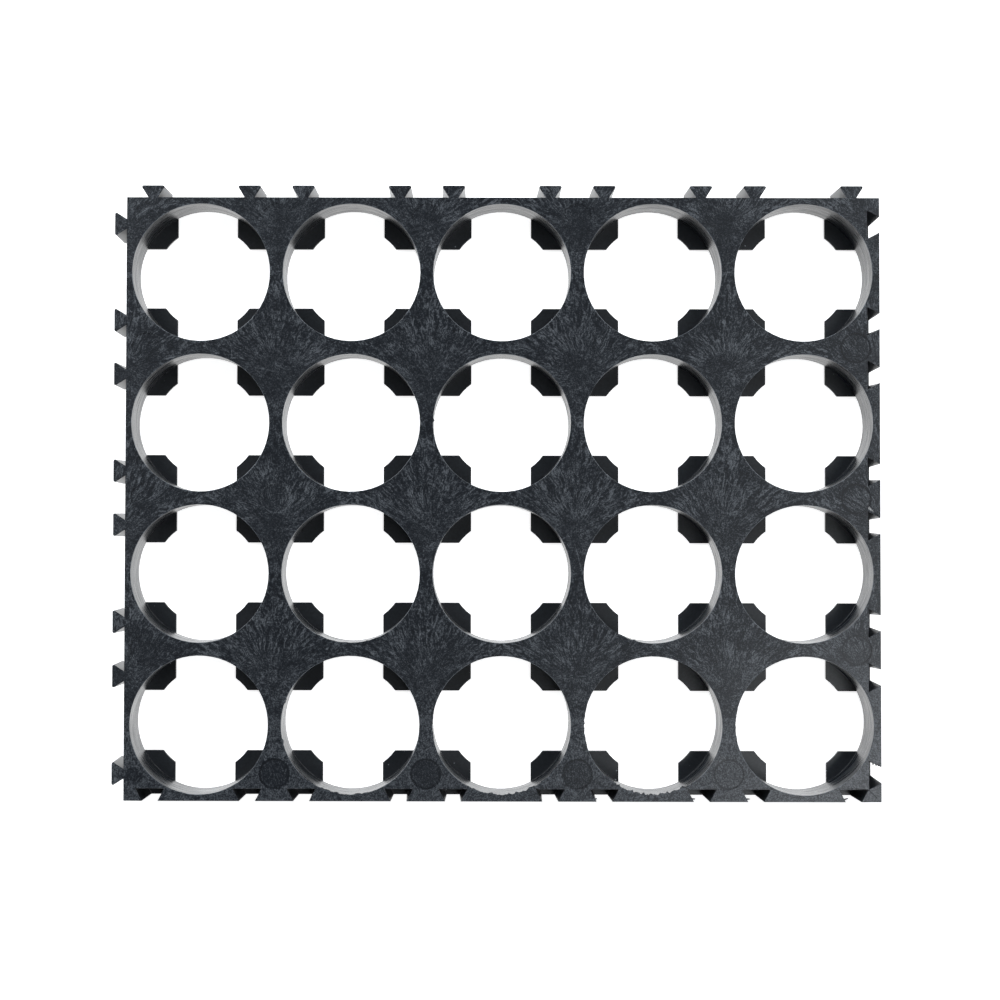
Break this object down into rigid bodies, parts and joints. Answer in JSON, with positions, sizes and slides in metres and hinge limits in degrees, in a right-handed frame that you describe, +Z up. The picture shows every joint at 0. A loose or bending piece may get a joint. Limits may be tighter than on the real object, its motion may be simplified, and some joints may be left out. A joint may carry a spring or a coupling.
{
  "type": "battery cell holder bracket",
  "caption": "Flat moulded frame that spaces a block of round cells; corner stops under each bore, strip channels on the underside and dovetail keys and slots for joining frames.",
  "frame": {"origin": "centre of the footprint, keys included, on the underside of the pads", "axes": "+X along the long side, away from the side with keys; +Y towards the long side with keys; +Z up, the way the cells leave"},
  "size_m": [0.103, 0.0826, 0.008],
  "materials": {
    "moulded_plastic": "dark slate moulded plastic with fine flow streaks"
  },
  "bodies": {
    "root": {"cell_bracket": "moulded_plastic"}
  },
  "joints": []
}
